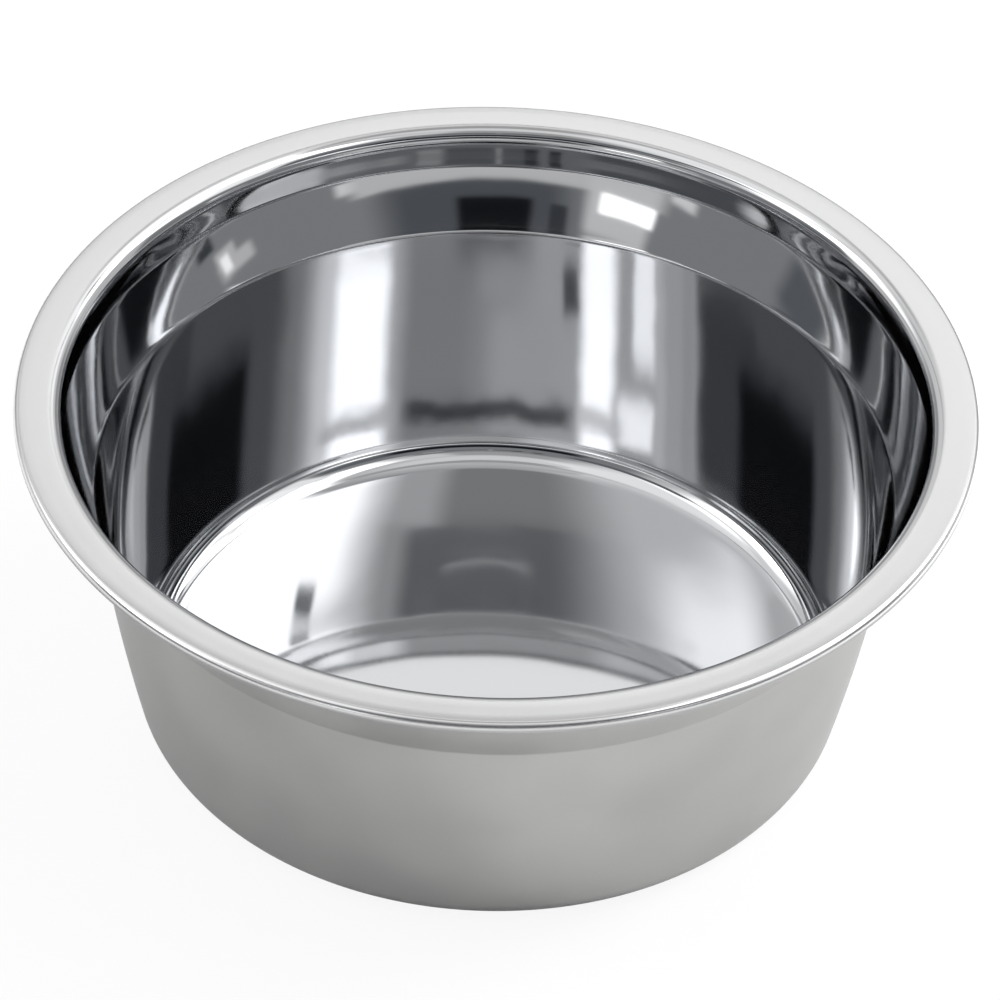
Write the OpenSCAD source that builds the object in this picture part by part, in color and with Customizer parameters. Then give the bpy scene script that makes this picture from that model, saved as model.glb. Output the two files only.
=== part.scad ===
// Round feeding bowl, pressed from one disc of stainless steel sheet.
// Z = 0 is the table and Z is the axis of the bowl.
// The sheet is followed along its upper face, from the middle of the floor out to the rolled edge,
// and the outline that this gives is turned round the axis.

/* [Overall] */
// Diameter over the rolled edge
rim_d = 240; // [210:5:300]
// Height of the rim's top face above the table
bowl_h = 94; // [70:1:120]
// Thickness of the steel sheet
sheet_t = 0.6; // [0.4:0.1:1]

/* [Rim] */
// Width of the rim, from the mouth to the outermost edge
rim_w = 12.8; // [10:0.1:20]
// Radius on which the rim rounds over into the mouth
mouth_round_r = 4; // [1.5:0.5:6]
// Outside diameter of the rolled edge
bead_d = 3.5; // [2.5:0.5:5]
// Angle through which the edge is rolled under
bead_turn_deg = 275; // [200:5:285]

/* [Shoulder] */
// Height of the collar between the rim's top face and the upper crease
collar_h = 11.6; // [10:0.1:24]
// Gain in radius from the mouth to the foot of the collar
collar_flare = 1.4; // [0:0.1:2]
// Height of the sloping shoulder below the collar
shoulder_h = 15.3; // [7:0.1:24]
// Loss of radius over the sloping shoulder
shoulder_in = 8.5; // [4:0.1:14]
// How far the shoulder bows outwards at mid-height
shoulder_bow = 0.35; // [0.1:0.05:1]
// Rounding of the upper crease, on the inner face
upper_crease_r = 2; // [1:0.5:8]
// Rounding of the lower crease, on the inner face
lower_crease_r = 3.5; // [2:0.5:12]

/* [Wall and floor] */
// Loss of radius from the foot of the shoulder to the floor
wall_in = 11.6; // [4:0.1:20]
// How far the wall bows outwards at mid-height
wall_bow = 1; // [0.25:0.25:2]
// Rounding between the wall and the floor, on the inner face
floor_round_r = 8; // [4:0.5:20]
// Width of the flat ring round the floor, which the bowl stands on
foot_ring_w = 8; // [4:0.5:20]
// Height by which the middle of the floor stands above that ring
floor_rise = 1; // [0.25:0.25:2]

/* [Hidden] */

steel_color = [0.79, 0.8, 0.81];
arc_step_deg = 6;
least_steps = 4;
turned_fn = 180;

// Where the tangents of a bowed stretch meet, as a share of its bow
bow_corner_share = 1.5;
// Length of the bow, as a share of what the rounding at its end leaves of it
bow_length_share = 0.9;
// Radius of the floor's dome, as a share of its sum with the radius of the hollow round it
dome_share = 0.8;

rim_r = rim_d / 2;
bead_r = bead_d / 2;
bead_axis_r = rim_r - bead_r;
mouth = [rim_r - rim_w, bowl_h];
collar_foot = mouth + [collar_flare, -collar_h];
shoulder_foot = collar_foot - [shoulder_in, shoulder_h];
floor_corner = [shoulder_foot[0] - wall_in, sheet_t];

// Unit normal of the upper face where the sheet runs at heading h
function normal(h) = [-sin(h), cos(h)];

// Heading from point a to point b
function slope(a, b) = atan2(b[1] - a[1], b[0] - a[0]);

// What a rounding of radius r at corner b takes of the stretches from a and to c
function lead(r, a, b, c) = r * tan(abs(slope(b, c) - slope(a, b)) / 2);

// Where the tangents of a stretch from a to b meet when it bows outwards
function bow_corner(a, b, bow) = (a + b) / 2 - bow * bow_corner_share * normal(slope(a, b));

// Radius of a bow from a past mid to b, with the length that roundings have taken at its ends
function bow_radius(a, mid, b, taken) =
    (norm(mid - a) - taken) * bow_length_share / tan(abs(slope(mid, b) - slope(a, mid)) / 2);

wall_mid = bow_corner(floor_corner, shoulder_foot, wall_bow);
floor_lead = lead(floor_round_r, [0, sheet_t], floor_corner, wall_mid);
wall_bow_r = bow_radius(floor_corner, wall_mid, shoulder_foot, floor_lead);

shoulder_mid = bow_corner(shoulder_foot, collar_foot, shoulder_bow);
crease_lead = max(
    lead(lower_crease_r, wall_mid, shoulder_foot, shoulder_mid),
    lead(upper_crease_r, shoulder_mid, collar_foot, mouth));
shoulder_bow_r = bow_radius(shoulder_foot, shoulder_mid, collar_foot, crease_lead);

// The floor's dome and the hollow round it turn by the same angle, so the ring outside them is level
dome_r = floor_corner[0] - floor_lead - foot_ring_w;
dome_turn_deg = 2 * atan(floor_rise / dome_r);
dome_radii = dome_r / sin(dome_turn_deg);

// Corners of the upper face from the axis outwards, before rounding: [point, rounding]
corners = [
    [[dome_r, sheet_t], 0],
    [floor_corner, floor_round_r],
    [wall_mid, wall_bow_r],
    [shoulder_foot, lower_crease_r],
    [shoulder_mid, shoulder_bow_r],
    [collar_foot, upper_crease_r],
    [mouth, mouth_round_r],
    [[bead_axis_r, bowl_h], 0]
];

// Stations [point, heading] along a bend of radius r, which starts at p with heading h and turns by turn_deg
function bend(p, h, turn_deg, r) =
    let (
        steps = max(least_steps, ceil(abs(turn_deg) / arc_step_deg)),
        side = sign(turn_deg),
        centre = p + side * r * normal(h)
    )
    [for (k = [0:steps])
        let (a = h + turn_deg * k / steps)
        [centre - side * r * normal(a), a]
    ];

// Stations along the rounding of corner i
function rounding(i) =
    let (
        before = corners[i - 1][0],
        corner = corners[i][0],
        after = corners[i + 1][0],
        r = corners[i][1],
        h = slope(before, corner),
        start = corner - lead(r, before, corner, after) * [cos(h), sin(h)]
    )
    bend(start, h, slope(corner, after) - h, r);

// Stations of the floor inside its flat ring
dome = bend([0, sheet_t + floor_rise], 0, -dome_turn_deg, dome_radii * dome_share);
hollow_start = dome[len(dome) - 1][0];
hollow = bend(hollow_start, -dome_turn_deg, dome_turn_deg, dome_radii * (1 - dome_share));

// The edge is rolled in two bends that meet at its outermost point, so that rim_d is met exactly
stations = concat(
    dome,
    [for (k = [1:len(hollow) - 1]) hollow[k]],
    [for (i = [1:len(corners) - 2]) each rounding(i)],
    bend([bead_axis_r, bowl_h], 0, -90, bead_r),
    bend([rim_r, bowl_h - bead_r], -90, 90 - bead_turn_deg, bead_r)
);

upper_face = [for (s = stations) s[0]];
lower_face = [for (s = stations) s[0] - sheet_t * normal(s[1])];

// The whole bowl: floor, wall, shoulder, collar, rim and hollow rolled edge in one sheet
module bowl() {
    color(steel_color)
        rotate_extrude($fn = turned_fn)
            polygon(concat(upper_face, [for (k = [len(lower_face) - 1:-1:0]) lower_face[k]]));
}

bowl();
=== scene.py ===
# Stainless feeding bowl, pressed from one disc of sheet, in a plain studio.
from math import atan, atan2, ceil, cos, pi, radians, sin, tan

import bmesh
import bpy
from mathutils import Matrix, Vector


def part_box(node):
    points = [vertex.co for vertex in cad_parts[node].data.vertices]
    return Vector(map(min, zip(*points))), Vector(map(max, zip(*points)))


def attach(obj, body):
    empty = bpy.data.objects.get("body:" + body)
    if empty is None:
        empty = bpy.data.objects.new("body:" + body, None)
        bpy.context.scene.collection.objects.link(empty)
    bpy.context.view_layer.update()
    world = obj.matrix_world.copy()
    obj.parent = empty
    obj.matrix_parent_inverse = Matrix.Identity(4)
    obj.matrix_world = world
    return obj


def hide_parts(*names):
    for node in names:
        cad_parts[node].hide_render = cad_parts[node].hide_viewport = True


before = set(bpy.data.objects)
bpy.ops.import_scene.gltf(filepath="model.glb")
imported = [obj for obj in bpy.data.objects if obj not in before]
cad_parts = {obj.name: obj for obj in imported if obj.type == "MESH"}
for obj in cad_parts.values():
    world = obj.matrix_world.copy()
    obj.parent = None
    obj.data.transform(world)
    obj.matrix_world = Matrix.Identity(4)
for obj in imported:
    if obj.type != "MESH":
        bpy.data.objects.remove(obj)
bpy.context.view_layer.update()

scene = bpy.context.scene
scene.view_settings.view_transform = "Standard"


# Small helpers for node trees

def addNode(tree, kind, **settings):
    node = tree.nodes.new(kind)
    for name, value in settings.items():
        setattr(node, name, value)
    return node


def fill(node, **values):  # sets inputs by name; a socket is linked, anything else is typed in
    tree = node.id_data
    for name, value in values.items():
        socket = node.inputs[int(name[1:])] if name[0] == "n" and name[1:].isdigit() else node.inputs[name]
        if isinstance(value, bpy.types.NodeSocket):
            tree.links.new(value, socket)
        else:
            socket.default_value = value
    return node


def calc(tree, operation, first, second=0.0, third=0.0):
    node = addNode(tree, "ShaderNodeMath", operation=operation)
    fill(node, n0=first, n1=second, n2=third)
    return node.outputs[0]


def fade(tree, value, start, end, low=0.0, high=1.0):  # soft step from low at start to high at end
    node = addNode(tree, "ShaderNodeMapRange", interpolation_type="SMOOTHSTEP")
    fill(node, n0=value, n1=start, n2=end, n3=low, n4=high)
    return node.outputs[0]


def mixColours(tree, share, first, second):
    node = addNode(tree, "ShaderNodeMix", data_type="RGBA")
    fill(node, Factor=share, n6=first, n7=second)
    return node.outputs[2]


def splitPlace(tree, place):  # x, y and z of a vector, and the distance from the axis
    x, y, z = fill(addNode(tree, "ShaderNodeSeparateXYZ"), n0=place).outputs
    squareSum = calc(tree, "MULTIPLY_ADD", x, x, calc(tree, "MULTIPLY", y, y))
    return x, y, z, calc(tree, "SQRT", squareSum)


def newGroup(name, inputs, outputs):
    group = bpy.data.node_groups.new(name, "ShaderNodeTree")
    for label, kind in inputs:
        group.interface.new_socket(name=label, in_out="INPUT", socket_type=kind)
    for label, kind in outputs:
        group.interface.new_socket(name=label, in_out="OUTPUT", socket_type=kind)
    entry = addNode(group, "NodeGroupInput")
    leave = addNode(group, "NodeGroupOutput")
    return group, entry, leave


def placeGroup(tree, group, **values):
    node = addNode(tree, "ShaderNodeGroup", node_tree=group)
    return fill(node, **values)


number = "NodeSocketFloat"
colour = "NodeSocketColor"
vector = "NodeSocketVector"


# The bowl: the upper face of the sheet is drawn from the axis outwards, then turned

bowlSize = {
    "rimWidth": 0.0128,     # metres, as every length here
    "mouthRound": 0.004,
    "rollAcross": 0.0035,
    "rollTurn": 275,        # degrees
    "collarHeight": 0.0116,
    "collarFlare": 0.0014,
    "shoulderHeight": 0.0153,
    "shoulderIn": 0.0085,
    "shoulderBow": 0.00035,
    "upperCrease": 0.002,
    "lowerCrease": 0.0035,
    "wallIn": 0.0116,
    "wallBow": 0.001,
    "floorRound": 0.008,
    "footRing": 0.008,
    "floorRise": 0.001,
    "sheet": 0.0006,
    "bowCornerShare": 1.5,  # where the tangents of a bowed stretch meet
    "bowLengthShare": 0.9,
    "domeShare": 0.8,
}

bowlMesh = {
    "longStep": 0.0022,     # metres between stations on straight and long, flat stretches
    "bendStep": 4.5,        # degrees between stations on the roundings
    "rollStep": 9.0,
    "turnSteps": 288,
    "weld": 1e-6,
}


def polar(heading, length):  # a vector in the plane of the outline
    return Vector((cos(heading), 0, sin(heading))) * length


def slope(start, end):
    return atan2(end.z - start.z, end.x - start.x)


def takenBy(radius, before, corner, after):  # what a rounding takes of the stretches beside it
    return radius * tan(abs(slope(corner, after) - slope(before, corner)) / 2)


def bowCorner(start, end, bow):  # where the tangents meet when the stretch bows outwards
    return (start + end) / 2 + polar(slope(start, end) - pi / 2, bow * bowlSize["bowCornerShare"])


def bowRadius(start, middle, end, taken):
    length = ((middle - start).length - taken) * bowlSize["bowLengthShare"]
    return length / tan(abs(slope(middle, end) - slope(start, middle)) / 2)


def drawStraight(bm, tip, end, step):
    way = end - tip.co
    count = max(1, ceil(way.length / step))
    for _ in range(count):
        tip = bmesh.ops.extrude_vert_indiv(bm, verts=[tip])["verts"][0]
        bmesh.ops.translate(bm, verts=[tip], vec=way / count)
    return tip


def drawBend(bm, tip, heading, turn, radius, step):
    side = 1 if turn > 0 else -1
    centre = tip.co + polar(heading + side * pi / 2, radius)
    count = max(2, ceil(abs(turn) / step))
    swept = bmesh.ops.spin(
        bm, geom=[tip], cent=centre, axis=(0, -side, 0), angle=abs(turn), steps=count)
    return [item for item in swept["geom_last"] if isinstance(item, bmesh.types.BMVert)][0]


def drawOutline(bm, rimRadius, rimHeight):
    size = bowlSize
    longStep = bowlMesh["longStep"]
    bendStep = radians(bowlMesh["bendStep"])
    rollStep = radians(bowlMesh["rollStep"])
    sheet = size["sheet"]
    rollRadius = size["rollAcross"] / 2

    # Corners of the upper face, before rounding
    rollAxis = Vector((rimRadius - rollRadius, 0, rimHeight))
    mouth = Vector((rimRadius - size["rimWidth"], 0, rimHeight))
    collarFoot = mouth + Vector((size["collarFlare"], 0, -size["collarHeight"]))
    shoulderFoot = collarFoot - Vector((size["shoulderIn"], 0, size["shoulderHeight"]))
    floorCorner = Vector((shoulderFoot.x - size["wallIn"], 0, sheet))

    # The wall and the shoulder both bow outwards a little
    wallMiddle = bowCorner(floorCorner, shoulderFoot, size["wallBow"])
    floorLead = takenBy(size["floorRound"], Vector((0, 0, sheet)), floorCorner, wallMiddle)
    wallRadius = bowRadius(floorCorner, wallMiddle, shoulderFoot, floorLead)
    shoulderMiddle = bowCorner(shoulderFoot, collarFoot, size["shoulderBow"])
    creaseLead = max(
        takenBy(size["lowerCrease"], wallMiddle, shoulderFoot, shoulderMiddle),
        takenBy(size["upperCrease"], shoulderMiddle, collarFoot, mouth))
    shoulderRadius = bowRadius(shoulderFoot, shoulderMiddle, collarFoot, creaseLead)

    # Floor: a low dome runs out through a wide hollow into the level ring that the bowl stands on
    domeEdge = floorCorner.x - floorLead - size["footRing"]
    domeTurn = 2 * atan(size["floorRise"] / domeEdge)
    domeRadii = domeEdge / sin(domeTurn)
    domeRadius = domeRadii * size["domeShare"]
    hollowRadius = domeRadii - domeRadius
    tip = bm.verts.new((0, 0, sheet + size["floorRise"]))
    tip = drawBend(bm, tip, 0, -domeTurn, domeRadius, longStep / domeRadius)
    tip = drawBend(bm, tip, -domeTurn, domeTurn, hollowRadius, longStep / hollowRadius)

    # Wall, shoulder, collar and rim, with each corner rounded
    corners = [
        (floorCorner, size["floorRound"], bendStep),
        (wallMiddle, wallRadius, longStep / wallRadius),
        (shoulderFoot, size["lowerCrease"], bendStep),
        (shoulderMiddle, shoulderRadius, longStep / shoulderRadius),
        (collarFoot, size["upperCrease"], bendStep),
        (mouth, size["mouthRound"], bendStep),
    ]
    here = tip.co.copy()
    ends = [corner for corner, _, _ in corners[1:]] + [rollAxis]
    for (corner, radius, step), following in zip(corners, ends):
        heading = slope(here, corner)
        lead = takenBy(radius, here, corner, following)
        tip = drawStraight(bm, tip, corner - polar(heading, lead), longStep)
        tip = drawBend(bm, tip, heading, slope(corner, following) - heading, radius, step)
        here = corner
    tip = drawStraight(bm, tip, rollAxis, longStep)

    # The edge is rolled under and stops short of the rim
    drawBend(bm, tip, 0, -radians(size["rollTurn"]), rollRadius, rollStep)


def makeBowl():
    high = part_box("bowl")[1]
    bm = bmesh.new()
    drawOutline(bm, high.x, high.z)
    bmesh.ops.spin(bm, geom=bm.verts[:] + bm.edges[:], cent=(0, 0, 0), axis=(0, 0, 1), angle=2 * pi,
                   steps=bowlMesh["turnSteps"], use_merge=True)
    bmesh.ops.remove_doubles(bm, verts=bm.verts, dist=bowlMesh["weld"])
    bmesh.ops.recalc_face_normals(bm, faces=bm.faces)
    middle = min(bm.faces, key=lambda face: face.calc_center_median().to_2d().length)
    if middle.normal.z < 0:
        bmesh.ops.reverse_faces(bm, faces=bm.faces)
    for face in bm.faces:
        face.smooth = True
    for edge in bm.edges:
        edge.smooth = not edge.is_boundary  # the cut edge stays crisp
    mesh = bpy.data.meshes.new("bowl_sheet")
    bm.to_mesh(mesh)
    bm.free()
    bowl = bpy.data.objects.new("bowl_sheet", mesh)
    scene.collection.objects.link(bowl)
    mesh.materials.append(polishedSteel())
    mesh.materials.append(satinSteel())
    wall = bowl.modifiers.new("sheet thickness", "SOLIDIFY")
    wall.thickness = bowlSize["sheet"]
    wall.offset = -1
    wall.use_even_offset = True
    wall.material_offset = 1
    wall.material_offset_rim = 1
    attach(bowl, "root")
    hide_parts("bowl")
    print("bowl:", len(mesh.polygons), "faces before the sheet gets its thickness")


# Finishes, and the painted shade under the rolled edge

marksNoise = {
    "detail": 2.0,
    "roughness": 0.6,
}


def turnedMarks():  # fine marks that run round the axis, as a polishing wheel leaves them
    group, entry, leave = newGroup(
        "turned marks",
        [("Vector", vector), ("Spacing", number), ("Length", number)],
        [("Marks", number)])
    x, y, z, radius = splitPlace(group, entry.outputs["Vector"])
    around = calc(group, "ARCTAN2", y, x)
    across = calc(group, "DIVIDE", radius, entry.outputs["Spacing"])
    up = calc(group, "DIVIDE", z, entry.outputs["Spacing"])
    along = calc(group, "DIVIDE", around, entry.outputs["Length"])
    join = fill(addNode(group, "ShaderNodeCombineXYZ"), n0=across, n1=up, n2=along)
    noise = addNode(group, "ShaderNodeTexNoise")
    fill(noise, Vector=join.outputs[0], Scale=1.0, Detail=marksNoise["detail"],
         Roughness=marksNoise["roughness"])
    fill(leave, Marks=noise.outputs[0])
    return group


unevenNoise = {
    "detail": 1.5,
    "roughness": 0.45,
    "from": 0.3,            # noise below this counts as low
    "to": 0.7,              # and above this as high
}


def unevenness():  # slow change over the surface, for mottling and for a sheet that isn't quite true
    group, entry, leave = newGroup(
        "unevenness",
        [("Vector", vector), ("Size", number), ("Low", number), ("High", number)],
        [("Value", number)])
    scale = calc(group, "DIVIDE", 1.0, entry.outputs["Size"])
    noise = addNode(group, "ShaderNodeTexNoise")
    fill(noise, Vector=entry.outputs["Vector"], Scale=scale, Detail=unevenNoise["detail"],
         Roughness=unevenNoise["roughness"])
    value = fade(group, noise.outputs[0], unevenNoise["from"], unevenNoise["to"],
                 entry.outputs["Low"], entry.outputs["High"])
    fill(leave, Value=value)
    return group


turnedMarksGroup = turnedMarks()
unevennessGroup = unevenness()


def newMaterial(name):
    material = bpy.data.materials.new(name)
    material.use_nodes = True
    tree = material.node_tree
    tree.nodes.clear()
    output = addNode(tree, "ShaderNodeOutputMaterial")
    shader = addNode(tree, "ShaderNodeBsdfPrincipled")
    fill(output, Surface=shader.outputs[0])
    return material, tree, shader, output


polishLook = {
    "steel": (0.555, 0.560, 0.570, 1),
    "rimSteel": (0.67, 0.67, 0.674, 1),     # flat rim and the top of the rolled edge
    "rollShadeSteel": (0.36, 0.36, 0.36, 1),     # painted shade: the rolled edge from its side on down, darkened for the shadow under the rim
    "roughness": 0.035,
    "rimRoughness": 0.17,
    "edgeRoughness": 0.36,
    "hazeFrom": 0.1090,     # radius where the rim's haze starts
    "hazeFull": 0.1120,
    "satinAndShadeFrom": 0.0010,     # depth below the rim's top where the rolled edge turns satin and starts taking its painted shade
    "satinAndShadeFull": 0.0018,
    "markSpacing": 0.00022,
    "markLength": 2.4,      # radians
    "markRoughness": 0.035,
    "waveSize": 0.025,      # slow waves in the sheet
    "waveHeight": 0.00003,
    "floorTrue": 0.0030,    # height up to which the pressed floor stays truer than the wall
    "wallFoot": 0.0100,
    "floorWave": 0.35,      # share of the wave that is left in the floor
}


def polishedSteel():
    look = polishLook
    material, tree, shader, _ = newMaterial("polished_steel")
    place = addNode(tree, "ShaderNodeTexCoord").outputs["Object"]
    _, _, z, radius = splitPlace(tree, place)
    haze = fade(tree, radius, look["hazeFrom"], look["hazeFull"])
    depth = calc(tree, "SUBTRACT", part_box("bowl")[1].z, z)
    # the rolled edge's side and underside: satin roughness there, and the mask for the painted shade of the
    # gap under the rim
    edge = calc(tree, "MULTIPLY", haze, fade(tree, depth, look["satinAndShadeFrom"], look["satinAndShadeFull"]))
    marks = placeGroup(tree, turnedMarksGroup, Vector=place, Spacing=look["markSpacing"],
                       Length=look["markLength"]).outputs["Marks"]
    plain = fade(tree, haze, 0.0, 1.0, look["roughness"], look["rimRoughness"])
    plain = calc(tree, "MULTIPLY_ADD", edge, look["edgeRoughness"] - look["rimRoughness"], plain)
    roughness = calc(tree, "MULTIPLY_ADD", marks, look["markRoughness"], plain)
    wave = placeGroup(tree, unevennessGroup, Vector=place, Size=look["waveSize"], Low=0.0, High=1.0)
    wavy = fade(tree, z, look["floorTrue"], look["wallFoot"], look["floorWave"], 1.0)
    bump = addNode(tree, "ShaderNodeBump")
    fill(bump, Strength=1.0, Distance=look["waveHeight"],
         Height=calc(tree, "MULTIPLY", wave.outputs["Value"], wavy))
    steel = mixColours(tree, haze, look["steel"], look["rimSteel"])
    # painted shade: the rolled edge turns dark from its side on down, standing in for the shadow under the
    # rim
    steel = mixColours(tree, edge, steel, look["rollShadeSteel"])
    fill(shader, **{"Base Color": steel, "Metallic": 1.0, "Roughness": roughness,
                    "Normal": bump.outputs[0]})
    return material


satinLook = {
    "dark": (0.385, 0.384, 0.380, 1),
    "light": (0.445, 0.442, 0.436, 1),
    "roughness": 0.44,
    "roughnessSpread": 0.08,
    "patchSize": 0.035,
    "grainSize": 0.0006,
    "grainDetail": 2.0,
    "grainHeight": 0.000004,
}


def satinSteel():
    look = satinLook
    material, tree, shader, _ = newMaterial("satin_steel")
    place = addNode(tree, "ShaderNodeTexCoord").outputs["Object"]
    patches = placeGroup(tree, unevennessGroup, Vector=place, Size=look["patchSize"],
                         Low=0.0, High=1.0).outputs["Value"]
    steel = mixColours(tree, patches, look["dark"], look["light"])
    roughness = calc(tree, "MULTIPLY_ADD", patches, look["roughnessSpread"], look["roughness"])
    grain = addNode(tree, "ShaderNodeTexNoise")
    fill(grain, Vector=place, Scale=1 / look["grainSize"], Detail=look["grainDetail"])
    bump = addNode(tree, "ShaderNodeBump")
    fill(bump, Strength=1.0, Distance=look["grainHeight"], Height=grain.outputs[0])
    fill(shader, **{"Base Color": steel, "Metallic": 1.0, "Roughness": roughness,
                    "Normal": bump.outputs[0]})
    return material


# Studio: a pale room with soft boxes on both sides and a dark space in front, laid out by direction.
# Azimuth is 0 towards the camera, 90 to its right and 180 behind the bowl, in degrees.
# A later zone lies over the earlier ones. Soft is how far its edges fade, at the sides and in height.
# A zone with a sag hangs lower at its sides by that many degrees.

studioZones = {
    "ceiling": dict(side=(-180, 180), height=(74, 110), soft=(1, 12), light=1.02),
    "ceiling, back": dict(side=(126, 234), height=(64, 87), soft=(30, 6), light=0.52),
    "back, low": dict(side=(130, 230), height=(-20, 17), soft=(16, 4), light=0.45),
    "back wall": dict(side=(120, 240), height=(18, 44), soft=(12, 3), light=0.90),
    "back wall, middle": dict(side=(140, 190), height=(33, 44), soft=(30, 6), light=1.26),
    "back wall, high": dict(side=(158, 206), height=(44, 62), soft=(16, 2), light=0.42),
    "back wall, high right": dict(side=(118, 158), height=(44, 66), soft=(16, 4), light=1.80),
    "back wall, high left": dict(side=(206, 250), height=(44, 66), soft=(16, 4), light=1.05),
    "back wall, band": dict(side=(170, 190), height=(41.6, 43.4), soft=(12, 0.8), light=1.29),
    "back wall, right": dict(side=(130, 164), height=(26, 46), soft=(24, 4), light=1.50),
    "back wall, rim light": dict(side=(150, 184), height=(33, 40.2), soft=(16, 2), light=1.45),
    "back wall, top": dict(side=(158, 206), height=(49, 64), soft=(16, 4), light=0.95),
    "dark room": dict(side=(-80, 62), height=(14.8, 69), soft=(10, 11), light=0.47),
    "dark room, upper": dict(side=(-40, 24), height=(60, 72), soft=(20, 3), light=0.54),
    "dark room, upper right": dict(side=(22, 50), height=(58.5, 72), soft=(14, 3), light=0.95),
    "dark room, low": dict(side=(-54, 56), height=(10, 58.7), soft=(30, 0.9), light=0.31, sag=0.6),
    "dark corner, right": dict(side=(22, 62), height=(34, 43.4), soft=(8, 1), light=0.19),
    "dim ceiling, right": dict(side=(34, 52), height=(52.8, 59), soft=(10, 0.9), light=0.75),
    "left fill": dict(side=(-142, -42), height=(52.9, 80), soft=(44, 0.9), light=1.3),
    "left fill, low": dict(side=(-112, -66), height=(49.8, 56), soft=(26, 6), light=2.6),
    "left glow": dict(side=(-124, -72), height=(19, 46.5), soft=(16, 4), light=2.0),
    "left wall": dict(side=(-74, -52), height=(22, 46), soft=(16, 3), light=0.80),
    "left softbox, edge": dict(side=(-104, -72), height=(30, 45.5), soft=(26, 4), light=2.8),
    "left softbox": dict(side=(-116.5, -86), height=(30.5, 44), soft=(9, 3), light=5.8),
    "window": dict(side=(65, 143), height=(31.5, 49.2), soft=(5, 4), light=1.5),
    "window, far side": dict(side=(67, 74), height=(31.5, 47), soft=(4, 4), light=1.3),
    "window, left light": dict(side=(115, 134), height=(31, 47), soft=(8, 4), light=5.5),
    "window, low right": dict(side=(92, 112), height=(33.9, 36.8), soft=(4, 1.2), light=4.4),
    "window, right light": dict(side=(90.5, 104), height=(38.8, 47), soft=(4, 2), light=4.4),
    "window, middle": dict(side=(85, 91), height=(31.5, 47), soft=(5, 4), light=1.9),
    "over the window": dict(side=(59, 76), height=(48.9, 51.2), soft=(6, 1), light=1.25),
    "window frame": dict(side=(136, 145), height=(40.5, 43.4), soft=(3, 0.8), light=0.24),
    "right softbox": dict(side=(53, 138), height=(53, 68), soft=(28, 5), light=3.5),
    "right softbox, low": dict(side=(75, 136), height=(50.3, 56), soft=(4, 0.8), light=3.4),
    "low sides": dict(side=(-94, 100), height=(3.5, 27), soft=(6, 3), light=0.31),
    "low corner, left": dict(side=(-92, -76), height=(4, 14), soft=(6, 4), light=0.15),
    "low patch, left": dict(side=(-48, -41), height=(8, 11.5), soft=(3, 1.4), light=0.95),
    "low patch, middle": dict(side=(31, 42), height=(9.5, 13), soft=(3, 1.4), light=0.95),
    "low patch, right": dict(side=(66, 77), height=(10.8, 14.2), soft=(3, 1.6), light=0.72),
    "low patch, lower": dict(side=(70.5, 77), height=(8.2, 12), soft=(2, 1.4), light=0.70),
    "low patch, bright": dict(side=(73, 76), height=(9.6, 13.2), soft=(1.6, 1.6), light=1.5),
    "low spot, right": dict(side=(76, 81), height=(3.5, 7), soft=(2, 1), light=0.06),
    "dark front": dict(side=(-17, 31), height=(15.3, 27), soft=(14, 1), light=0.12),
    "black front": dict(side=(-7, 12), height=(19.3, 27), soft=(3, 1.5), light=0.012),
    "black bar": dict(side=(-16.5, -12), height=(20, 27), soft=(2, 1), light=0.06),
    "black space, edges": dict(side=(-30, 34), height=(30.6, 41.9), soft=(10, 1.2), light=0.18),
    "black space": dict(side=(-28, 36), height=(33.2, 40.9), soft=(8, 1), light=0.015),
    "strip over the front": dict(side=(-40, 26), height=(27, 29.9), soft=(8, 0.8), light=0.85),
    "strip, left end": dict(side=(-54, -30), height=(27, 29.9), soft=(12, 0.8), light=1.3),
    "strip, right end": dict(side=(24, 56), height=(27, 29.9), soft=(8, 0.8), light=1.9),
    "strip, far right": dict(side=(39, 48), height=(27, 29.9), soft=(6, 0.8), light=2.8),
    "low horizon": dict(side=(-40, 38), height=(-10, 14.8), soft=(6, 0.9), light=0.74),
    "front softbox, glow": dict(side=(-38, -21), height=(10, 25), soft=(4, 3), light=0.80),
    "front softbox": dict(side=(-38.5, -24.5), height=(14.6, 19.3), soft=(2.5, 1), light=2.6),
    "shade on the left": dict(side=(-77, -28), height=(46, 52.6), soft=(8, 0.6), light=0.18),
    "shade in front": dict(side=(-11, 19), height=(51.5, 53.9), soft=(1.5, 0.3), light=0.19),
    "light panel": dict(side=(20.5, 28), height=(51.5, 53.7), soft=(2, 0.4), light=0.56),
    "first post": dict(side=(-10, -6), height=(51.5, 53.9), soft=(1, 0.3), light=0.06),
    "second post": dict(side=(-18, -14), height=(51.5, 53.8), soft=(1, 0.3), light=0.06),
    "light line": dict(side=(1.2, 2.8), height=(51.5, 53.9), soft=(1, 0.3), light=0.60),
    "light bow": dict(side=(-14, 18), height=(56.6, 57.1), soft=(7, 0.5), light=0.80, sag=0.9),
    "line behind": dict(side=(139, 231), height=(34.35, 35.45), soft=(12, 0.5), light=0.06),
    "line, left end": dict(side=(238, 281), height=(34.45, 35.7), soft=(12, 0.6), light=1.7),
    "line, right end": dict(side=(110, 136), height=(34.45, 35.7), soft=(8, 0.6), light=2.2),
    "dark fleck": dict(side=(67.2, 75.5), height=(53.4, 54.9), soft=(2.5, 0.4), light=0.22),
}

studioLook = {
    "room": 0.75,           # light where no zone lies
    "darkTint": (0.88, 0.98, 1.14),
    "tintFrom": 0.4,        # zones darker than this take the tint
}


halfTurn = 180.0


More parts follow.
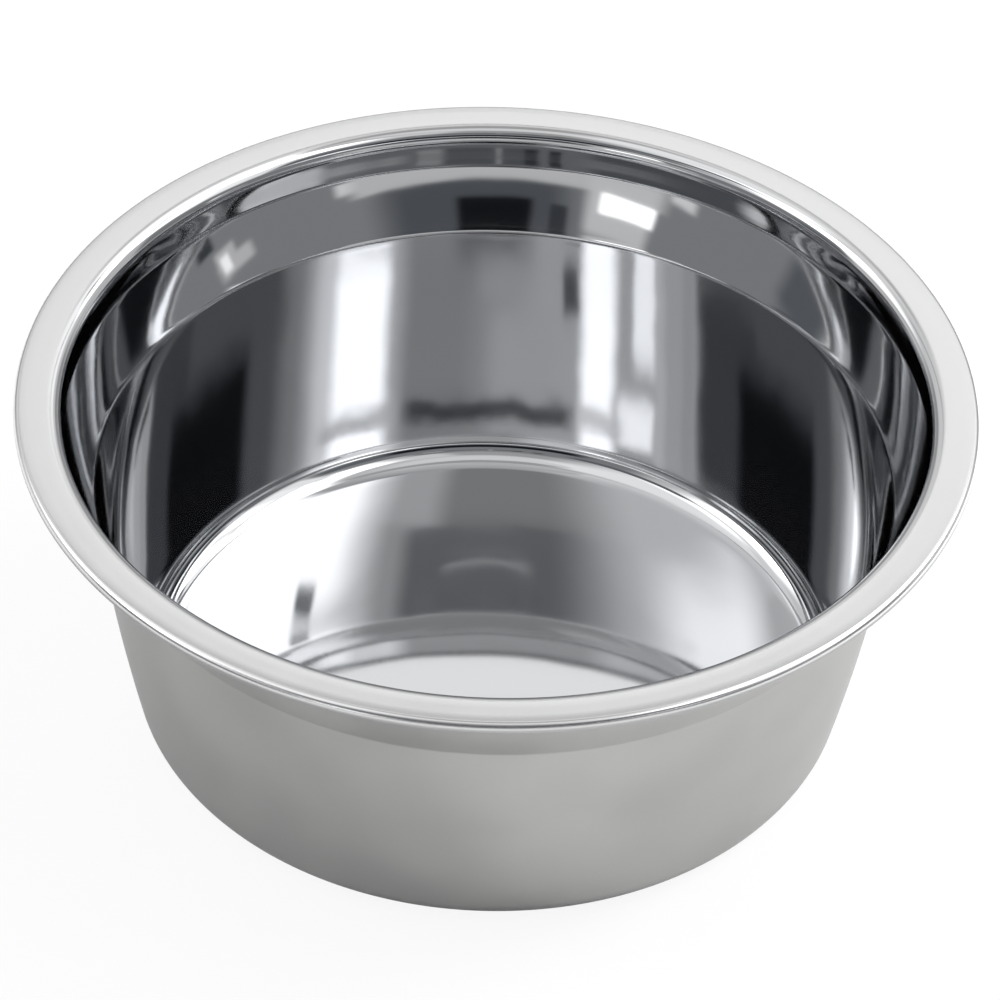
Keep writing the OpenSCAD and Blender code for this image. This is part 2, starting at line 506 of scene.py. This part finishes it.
def studioZone():
    group, entry, leave = newGroup(
        "studio zone",
        [("Below", colour), ("Azimuth", number), ("Elevation", number), ("Middle side", number),
         ("Inner side", number), ("Outer side", number), ("Middle height", number),
         ("Inner height", number), ("Outer height", number), ("Sag", number), ("Light", colour)],
        [("Colour", colour)])
    given = entry.outputs
    offSide = calc(group, "SUBTRACT", given["Azimuth"], given["Middle side"])
    offSide = calc(group, "ABSOLUTE", calc(group, "WRAP", offSide, halfTurn, -halfTurn))
    inSide = fade(group, offSide, given["Outer side"], given["Inner side"])
    offHeight = calc(group, "SUBTRACT", given["Elevation"], given["Middle height"])
    sideShare = calc(group, "DIVIDE", offSide, given["Outer side"])
    sideShare = calc(group, "MULTIPLY", sideShare, sideShare)
    offHeight = calc(group, "MULTIPLY_ADD", sideShare, given["Sag"], offHeight)
    inHeight = fade(group, calc(group, "ABSOLUTE", offHeight), given["Outer height"], given["Inner height"])
    mask = calc(group, "MULTIPLY", inSide, inHeight)
    fill(leave, Colour=mixColours(group, mask, given["Below"], given["Light"]))
    return group


def lightColour(light):
    look = studioLook
    tinted = max(0.0, 1.0 - light / look["tintFrom"])
    return [light * (1 + tinted * (share - 1)) for share in look["darkTint"]] + [1]


def makeStudio():
    world = bpy.data.worlds.new("studio")
    scene.world = world
    world.use_nodes = True
    tree = world.node_tree
    tree.nodes.clear()
    direction = addNode(tree, "ShaderNodeTexCoord").outputs["Generated"]
    x, y, z = fill(addNode(tree, "ShaderNodeSeparateXYZ"), n0=direction).outputs
    azimuth = calc(tree, "DEGREES", calc(tree, "ARCTAN2", x, calc(tree, "MULTIPLY", y, -1.0)))
    elevation = calc(tree, "DEGREES", calc(tree, "ARCSINE", z))
    zoneGroup = studioZone()
    seen = lightColour(studioLook["room"])
    for name, zone in studioZones.items():
        sideFrom, sideTo = zone["side"]
        lowest, highest = zone["height"]
        softSide, softHeight = zone["soft"]
        node = placeGroup(tree, zoneGroup, **{
            "Below": seen, "Azimuth": azimuth, "Elevation": elevation,
            "Middle side": (sideFrom + sideTo) / 2,
            "Inner side": (sideTo - sideFrom - softSide) / 2,
            "Outer side": (sideTo - sideFrom + softSide) / 2,
            "Middle height": (lowest + highest) / 2,
            "Inner height": (highest - lowest - softHeight) / 2,
            "Outer height": (highest - lowest + softHeight) / 2,
            "Sag": zone.get("sag", 0.0),
            "Light": lightColour(zone["light"]),
        })
        node.label = name
        seen = node.outputs["Colour"]
    room = fill(addNode(tree, "ShaderNodeBackground"), Color=seen, Strength=1.0)
    white = fill(addNode(tree, "ShaderNodeBackground"), Color=(1, 1, 1, 1), Strength=1.0)
    ray = addNode(tree, "ShaderNodeLightPath")
    seenPlain = calc(tree, "MAXIMUM", ray.outputs["Is Camera Ray"], ray.outputs["Is Transmission Ray"])
    mix = addNode(tree, "ShaderNodeMixShader")
    fill(mix, n0=seenPlain, n1=room.outputs[0], n2=white.outputs[0])
    fill(addNode(tree, "ShaderNodeOutputWorld"), Surface=mix.outputs[0])
    print("studio:", len(studioZones), "zones")


sideLamp = {
    "power": 5.0,           # watts
    "across": 0.35,
    "place": (0.72, 0.26, 0.5),
}


def makeSideLamp():  # lights the floor on the right; the metal sees only the floor that it lights
    look = sideLamp
    light = bpy.data.lights.new("side lamp", "AREA")
    light.shape = "DISK"
    light.size = look["across"]
    light.energy = look["power"]
    lamp = bpy.data.objects.new("side lamp", light)
    scene.collection.objects.link(lamp)
    place = Vector(look["place"])
    lamp.matrix_world = Matrix.Translation(place) @ place.to_track_quat("Z", "Y").to_matrix().to_4x4()
    lamp.visible_glossy = False
    lamp.visible_camera = False
    print("side lamp:", look["power"], "watts")


floorLook = {
    "radius": 3.0,
    "segments": 96,
    "colour": (0.93, 0.93, 0.93, 1),
    "roughness": 0.9,
    "specular": 0.1,
    "cameraWhite": 0.9,     # share of plain white in what the camera sees of the floor
}


def makeFloor():
    look = floorLook
    bm = bmesh.new()
    bmesh.ops.create_circle(bm, cap_ends=True, segments=look["segments"], radius=look["radius"])
    mesh = bpy.data.meshes.new("floor")
    bm.to_mesh(mesh)
    bm.free()
    floor = bpy.data.objects.new("floor", mesh)
    scene.collection.objects.link(floor)
    material, tree, shader, output = newMaterial("pale_floor")
    fill(shader, **{"Base Color": look["colour"], "Roughness": look["roughness"],
                    "Specular IOR Level": look["specular"]})
    white = fill(addNode(tree, "ShaderNodeEmission"), Color=(1, 1, 1, 1), Strength=1.0)
    ray = addNode(tree, "ShaderNodeLightPath")
    share = calc(tree, "MULTIPLY", ray.outputs["Is Camera Ray"], look["cameraWhite"])
    mix = fill(addNode(tree, "ShaderNodeMixShader"), n0=share, n1=shader.outputs[0], n2=white.outputs[0])
    fill(output, Surface=mix.outputs[0])
    mesh.materials.append(material)
    print("floor: radius", look["radius"])


cameraView = {
    "distance": 1.68,       # metres from the middle of the mouth
    "downward": 39.87,      # degrees below the level line to the middle of the mouth
    "nod": -0.86,           # degrees, as are swing and tilt
    "swing": -0.05,
    "tilt": 1.88,
    "lens": 243.7,          # millimetres
    "sensor": 36,           # millimetres across
}


def makeCamera():
    look = cameraView
    lens = bpy.data.cameras.new("camera")
    lens.lens = look["lens"]
    lens.sensor_width = look["sensor"]
    camera = bpy.data.objects.new("camera", lens)
    scene.collection.objects.link(camera)
    downward = radians(look["downward"])
    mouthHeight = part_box("bowl")[1].z
    away = Vector((0, -cos(downward), sin(downward))) * look["distance"]
    place = Matrix.Translation(away + Vector((0, 0, mouthHeight)))
    camera.matrix_world = (
        place
        @ Matrix.Rotation(pi / 2 - downward, 4, "X")
        @ Matrix.Rotation(radians(look["nod"]), 4, "X")
        @ Matrix.Rotation(radians(look["swing"]), 4, "Y")
        @ Matrix.Rotation(radians(look["tilt"]), 4, "Z"))
    scene.camera = camera
    print("camera: lens", look["lens"])


makeCamera()
makeStudio()
makeSideLamp()
makeFloor()
makeBowl()
